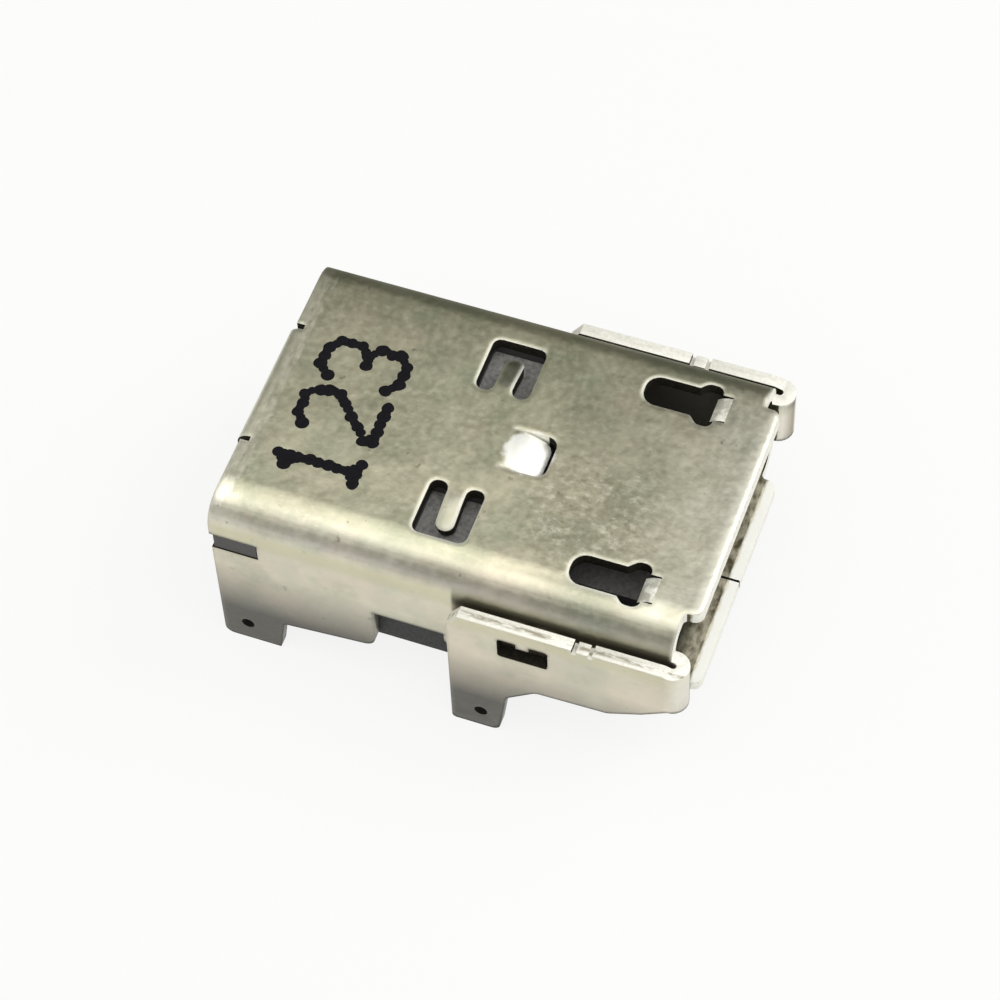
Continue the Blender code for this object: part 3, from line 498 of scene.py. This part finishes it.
def black_plastic():
    """Moulded plastic, dark grey and finely grained, with a painted sheen on its upward faces,
    painted shade in the notches and paler lugs.
    """
    n = Nodes("moulded_plastic")
    place = n.place()
    x, y, z = n.parts(place)
    grain = n.noise(place, 16, 4, 0.6)
    speck = n.noise(place, 8, 4, 0.7)
    base = n.ramp(n.levels(grain, 0.3, 0.7), PLASTIC)
    geometry = n.add("ShaderNodeNewGeometry")
    _, _, up = n.parts(geometry.outputs["Normal"])
    # Painted sheen on the upward faces
    upward_sheen = n.times(n.levels(up, 0.5, 0.9), n.levels(z, 2.2, 2.9))
    base = n.mix(n.times(upward_sheen, n.levels(speck, 0.32, 0.68, 0.35, 1)), base, UPWARD_SHEEN_COLOUR)
    side = n.math("ABSOLUTE", x)
    patchy_region = n.times(n.levels(side, 3.6, 3.7), n.levels(speck, 0.3, 0.7, 0.6, 1))
    # Painted shade on the plastic in the notches; the lugs paler
    notch_back_shade = n.times(n.levels(side, 3.3, 3.4), n.levels(y, 0.8, 0.4))
    base = n.mix(notch_back_shade, base, NOTCH_BACK_SHADE)
    base = n.mix(patchy_region, base, n.mix(n.levels(y, 1, 2), NOTCH_FACE_SHADE, LUG_PALE))
    n.link(base, n.shader.inputs["Base Color"])
    n.link(n.levels(grain, 0.3, 0.7, 0.5, 0.68), n.shader.inputs["Roughness"])
    n.bump(grain, FINE_RELIEF, 0.6)
    return n.material


def contact_plating():
    """Gold-coloured contact plating."""
    n = Nodes("contact_plating")
    place = n.place()
    grain = n.noise(n.stretched(place, (4, 0.6, 1)), 8, 3, 0.5)
    n.link(n.ramp(grain, GOLD), n.shader.inputs["Base Color"])
    n.shader.inputs["Metallic"].default_value = 1.0
    n.link(n.levels(grain, 0.3, 0.7, 0.2, 0.34), n.shader.inputs["Roughness"])
    n.bump(grain, FAINT_RELIEF, 0.3)
    return n.material


def ink():
    """Black printing ink."""
    n = Nodes("ink")
    n.shader.inputs["Specular IOR Level"].default_value = 0.12
    grain = n.noise(n.place(), 12, 3, 0.6)
    n.link(n.ramp(grain, INK), n.shader.inputs["Base Color"])
    n.link(n.levels(grain, 0.3, 0.7, 0.65, 0.8), n.shader.inputs["Roughness"])
    n.bump(grain, FAINT_RELIEF, 0.4)
    return n.material


# The shell, refined from its CAD solid

def metal_behind(face, tree):
    """Thickness of the metal behind a face, or None."""
    start = face.calc_center_median() - face.normal * STEP_IN
    return tree.ray_cast(start, -face.normal)[3]


def is_rim(face, tree):
    """Whether a face is a sheared edge of the sheet, by how thick the metal is behind it."""
    behind = metal_behind(face, tree)
    return behind is None or behind > SHEET * 1.15


def is_dimple(face, tree):
    """Whether a face is the wall or the bottom of the dimple in a leg."""
    if face.calc_center_median().z > 0:
        return False
    behind = metal_behind(face, tree)
    small = face.calc_area() < DIMPLE_AREA
    bottom = behind is not None and behind < SHEET * 0.75 and small
    return bottom or 0.3 < abs(face.normal.x) < 0.97


def is_inside(centre, normal):
    """Whether a face of the sheet looks into the tube, or from a wing towards the wall."""
    if centre.y < MOUTH_Y and normal.y < -0.2:
        return False
    if abs(centre.x) > WING_X:
        return normal.x * centre.x < 0
    return normal.x * centre.x + normal.z * (centre.z - TUBE_MIDDLE_Z) < 0


def is_lit_rim(centre, normal):
    """Whether a sheared edge gets the bright finish as a painted highlight: an upper edge, the
    mouth's lip or by the middle tab.
    """
    at_mouth = centre.y < MOUTH_Y and normal.y < -0.5
    lit_upper_edge = centre.z > UPPER_EDGES_Z and normal.z > 0.3
    at_middle_tab = abs(centre.x) < 0.0007 and -0.0029 < centre.y < -0.0021
    return at_mouth or lit_upper_edge or at_middle_tab


def is_outer_edge(centre):
    """Whether a sheared edge is at the shell's rear, or on a wing or a leg."""
    return centre.y > REAR_EDGE_Y or abs(centre.x) > WING_X or centre.z < LEG_TOP_Z


def by_keyhole_tab(centre):
    """Whether a place is on the small tab in a keyhole slot."""
    aside = abs(abs(centre.x) - KEYHOLE_X) < 0.0004
    return aside and -0.0067 < centre.y < -0.0062 and centre.z > UPPER_EDGES_Z


def finish_index(face, tree):
    """Which of the shell's finishes a face gets."""
    centre = face.calc_center_median()
    # Dimples get the dark finish, painted shade
    if is_dimple(face, tree):
        return SHADED_WALL
    if is_rim(face, tree):
        if face.normal.z < -0.3 and abs(centre.x) > WING_X:
            return PLATED
        # Sheared edges facing the light get the bright finish, painted highlight
        if is_lit_rim(centre, face.normal):
            return LIT_SHEARED
        if centre.y < MOUTH_Y:
            return INNER
        if max(face.normal.x, face.normal.y) > 0.5 and is_outer_edge(centre):
            return PLATED
        # Most other sheared edges get the dark finish, painted shade
        return SHADED_WALL if centre.z > LEG_TOP_Z or abs(face.normal.x) > 0.3 else PLATED
    # The keyhole tabs' faces towards the rear get the bright finish, painted highlight
    if by_keyhole_tab(centre) and face.normal.y > 0.1:
        return LIT_SHEARED
    # Faces that look inside get the inner finish, dark with painted shade
    return INNER if is_inside(centre, face.normal) else PLATED


def refined(node, name, width, segments, materials):
    """Copy of the shell's CAD node, its flat faces merged and its sharp edges rounded over."""
    bm = bmesh.new()
    bm.from_mesh(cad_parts[node].data)
    bmesh.ops.remove_doubles(bm, verts=bm.verts, dist=MERGE_DISTANCE)
    bm.normal_update()
    tree = BVHTree.FromBMesh(bm)
    for face in bm.faces:
        face.material_index = finish_index(face, tree)
    bmesh.ops.dissolve_limit(bm, angle_limit=FLAT_ANGLE, verts=bm.verts, edges=bm.edges,
                             delimit={"MATERIAL"})
    for face in bm.faces:
        face.smooth = True
    sharp = [edge for edge in bm.edges if len(edge.link_faces) == 2
             and edge.calc_face_angle(0) > SMOOTH_ANGLE]
    rounds = bmesh.ops.bevel(bm, geom=sharp, offset=width, offset_type="OFFSET",
                             segments=segments, profile=0.5, affect="EDGES",
                             clamp_overlap=True, loop_slide=True, material=-1)
    # Rounds on edges that face the light take the bright finish too, painted highlight
    for face in rounds["faces"]:
        if is_lit_rim(face.calc_center_median(), face.normal):
            face.material_index = LIT_SHEARED
    mesh = bpy.data.meshes.new(name)
    bm.to_mesh(mesh)
    bm.free()
    mesh.shade_smooth()
    for material in materials:
        mesh.materials.append(material)
    thing = bpy.data.objects.new(name, mesh)
    bpy.context.scene.collection.objects.link(thing)
    weighted = thing.modifiers.new("weighted", "WEIGHTED_NORMAL")
    weighted.weight = 100
    weighted.keep_sharp = True
    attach(thing, "root")
    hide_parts(node)
    return thing


# Printed digits, one string of dots a row

DIGITS = {
    "1": ["..#..", ".##..", "..#..", "..#..", "..#..", "..#..", "..#..", "..#..", ".###."],
    "2": [".###.", "#...#", "....#", "....#", "...#.", "..#..", ".#...", "#....", "#####"],
    "3": [".###.", "#...#", "....#", "....#", "..##.", "....#", "....#", "#...#", ".###."],
}


def printed_digits(text, first_x, top_y, pitch, dot_x, dot_y, material):
    """Row of plain dot-matrix digits, each dot a thin drop of ink."""
    chance = random.Random(4)
    bm = bmesh.new()
    for place, digit in enumerate(text):
        for row, line in enumerate(DIGITS[digit]):
            for column, mark in enumerate(line):
                if mark == "#":
                    x = first_x + place * pitch + (column - 2) * dot_x + chance.gauss(0, DOT_STRAY)
                    y = top_y - row * dot_y + chance.gauss(0, DOT_STRAY)
                    ink_drop(bm, x, y, DOT_RADIUS, chance)
                    spread(bm, DIGITS[digit], (row, column), (x, y), (dot_x, dot_y), chance)
    mesh = bpy.data.meshes.new("print_dots")
    bm.to_mesh(mesh)
    bm.free()
    mesh.shade_smooth()
    mesh.materials.append(material)
    thing = bpy.data.objects.new("print_dots", mesh)
    bpy.context.scene.collection.objects.link(thing)
    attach(thing, "root")


def spread(bm, rows, cell, place, pitch, chance):
    """Smaller drops that join a dot with the dots to its right and in the row below it."""
    row, column = cell
    for across, down in ((1, 0), (0, 1), (1, 1), (-1, 1)):
        notch_back_shade = column + across
        if row + down < len(rows) and rows[row + down][notch_back_shade:notch_back_shade + 1] == "#":
            ink_drop(bm, place[0] + across * pitch[0] / 2, place[1] - down * pitch[1] / 2,
                     DOT_RADIUS * 0.72, chance)


def ink_drop(bm, x, y, size, chance):
    """Low uneven dome of ink, slightly sunk into the top."""
    phase = chance.uniform(0, 6.28)
    uneven = chance.uniform(0, 0.07)
    size *= chance.uniform(0.9, 1.1)
    crown = DROP_HEIGHT + len(bm.verts) * DROP_RISE
    rings = []
    for share, lift in ((1.0, -DROP_SINK), (0.97, crown * 0.6), (0.75, crown)):
        ring = []
        for step in range(DROP_STEPS):
            angle = 2 * math.pi * step / DROP_STEPS
            radius = size * share * (1 + uneven * math.sin(3 * angle + phase))
            ring.append(bm.verts.new((x + radius * math.cos(angle), y + radius * math.sin(angle),
                                      TOP_Z + lift)))
        rings.append(ring)
    for low, high in zip(rings, rings[1:]):
        for index in range(DROP_STEPS):
            bm.faces.new([low[index - 1], low[index], high[index], high[index - 1]])
    bm.faces.new(rings[-1])
    bm.faces.new(rings[0][::-1])


def dress():
    """Puts the materials on, refines the shell and prints the digits."""
    shell = refined("shell", "folded_shell", width=RIM_WIDTH, segments=2,
                    materials=[plated_sheet(), cut_edge(), hole_wall(), inner_sheet()])
    solids = {"housing": black_plastic()}
    plating = contact_plating()
    for index in range(5):
        solids[f"contact_{index + 1}"] = plating
    for name, material in solids.items():
        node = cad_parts[name]
        node.data.materials.clear()
        node.data.materials.append(material)
    printed_digits("123", first_x=-0.00178, top_y=0.00264, pitch=0.00143, dot_x=0.00026,
                   dot_y=0.00024, material=ink())


# Studio

def floor_and_world():
    """Pale floor, clear from below, that glows to the camera and in part in reflections."""
    bpy.ops.mesh.primitive_plane_add(size=2, location=(0, 0, FLOOR_Z))
    floor = bpy.context.object
    floor.name = "studio_floor"
    n = Nodes("studio_floor")
    n.shader.inputs["Roughness"].default_value = 0.9
    glow = n.add("ShaderNodeEmission")
    path = n.add("ShaderNodeLightPath")
    mixer = n.add("ShaderNodeMixShader")
    glow.inputs["Strength"].default_value = 1.0
    x, _, _ = n.parts(n.place())
    lit = n.times(n.levels(x, -22, -11, 0.55, 1), n.levels(x, 7, 11, 1, 0.1))
    shine = n.larger(path.outputs["Is Glossy Ray"], path.outputs["Is Transmission Ray"])
    seen = n.larger(path.outputs["Is Camera Ray"], n.times(shine, lit))
    dim = n.times(shine, n.minus(1.0, lit))
    n.link(n.mix(dim, FLOOR_PALE, FLOOR_DIM), n.shader.inputs["Base Color"])
    n.link(n.times(seen, FLOOR_GLOW), mixer.inputs[0])
    n.link(n.shader.outputs[0], mixer.inputs[1])
    n.link(glow.outputs[0], mixer.inputs[2])
    back = n.add("ShaderNodeNewGeometry").outputs["Backfacing"]
    underneath = n.times(path.outputs["Is Camera Ray"], back)
    opened = n.add("ShaderNodeMixShader")
    n.link(underneath, opened.inputs[0])
    n.link(mixer.outputs[0], opened.inputs[1])
    n.link(n.add("ShaderNodeBsdfTransparent").outputs[0], opened.inputs[2])
    n.link(opened.outputs[0], n.tree.nodes["Material Output"].inputs["Surface"])
    floor.data.materials.append(n.material)
    studio_sky()


def studio_sky():
    """Plain warm sky, dimmer towards +X and bright towards -X, and a white one to the camera."""
    world = bpy.data.worlds.new("studio")
    bpy.context.scene.world = world
    world.use_nodes = True
    tree = world.node_tree
    coordinates = tree.nodes.new("ShaderNodeTexCoord")
    separate = tree.nodes.new("ShaderNodeSeparateXYZ")
    tree.links.new(coordinates.outputs["Generated"], separate.inputs[0])

    def fade(axis, start, end, low, high):
        node = tree.nodes.new("ShaderNodeMapRange")
        node.interpolation_type = "SMOOTHSTEP"
        values = {"From Min": start, "From Max": end, "To Min": low, "To Max": high}
        for name, value in values.items():
            node.inputs[name].default_value = value
        tree.links.new(separate.outputs[axis], node.inputs["Value"])
        return node.outputs["Result"]

    def join(operation, first, second):
        node = tree.nodes.new("ShaderNodeMath")
        node.operation = operation
        tree.links.new(first, node.inputs[0])
        tree.links.new(second, node.inputs[1])
        return node.outputs[0]

    panel = join("MULTIPLY", fade("X", 0.3, -0.2, 0, 0.7), fade("Z", 0.3, 0.6, 0, 1))
    level = join("ADD", panel, fade("X", 0.5, 0.85, 0.285, 0.12))
    background = tree.nodes["Background"]
    background.inputs["Color"].default_value = SKY
    tree.links.new(level, background.inputs["Strength"])
    backdrop = tree.nodes.new("ShaderNodeBackground")
    backdrop.inputs["Color"].default_value = BACKDROP
    path = tree.nodes.new("ShaderNodeLightPath")
    mixer = tree.nodes.new("ShaderNodeMixShader")
    tree.links.new(path.outputs["Is Camera Ray"], mixer.inputs[0])
    tree.links.new(background.outputs[0], mixer.inputs[1])
    tree.links.new(backdrop.outputs[0], mixer.inputs[2])
    tree.links.new(mixer.outputs[0], tree.nodes["World Output"].inputs["Surface"])


def area_light(name, place, target, size, power):
    """Soft round lamp aimed at a point."""
    lamp = bpy.data.lights.new(name, "AREA")
    lamp.shape = "DISK"
    lamp.size = size
    lamp.energy = power
    thing = bpy.data.objects.new(name, lamp)
    bpy.context.scene.collection.objects.link(thing)
    thing.location = place
    aim = Vector(target) - Vector(place)
    thing.rotation_euler = aim.to_track_quat("-Z", "Y").to_euler()


def lights():
    """One wide soft lamp overhead, set towards the near side, and a smaller one in front."""
    area_light("overhead", place=(-0.045, -0.03, 0.12), target=(-0.045, -0.03, 0), size=0.21,
               power=0.085)
    area_light("front", place=(0.075, -0.095, 0.1), target=(0, 0, 0), size=0.12, power=0.1)


def camera():
    """Camera that repeats the photograph's view."""
    data = bpy.data.cameras.new("photo_camera")
    data.lens = CAMERA_LENS
    data.sensor_width = SENSOR
    data.clip_start = 0.001
    thing = bpy.data.objects.new("photo_camera", data)
    bpy.context.scene.collection.objects.link(thing)
    right = Vector(CAMERA_RIGHT).normalized()
    up = Vector(CAMERA_UP).normalized()
    back = right.cross(up)
    up = back.cross(right)
    turn = Matrix((right, up, back)).transposed().to_4x4()
    thing.matrix_world = Matrix.Translation(CAMERA_PLACE) @ turn
    bpy.context.scene.camera = thing


dress()
floor_and_world()
lights()
camera()
bpy.context.scene.view_settings.view_transform = "Standard"
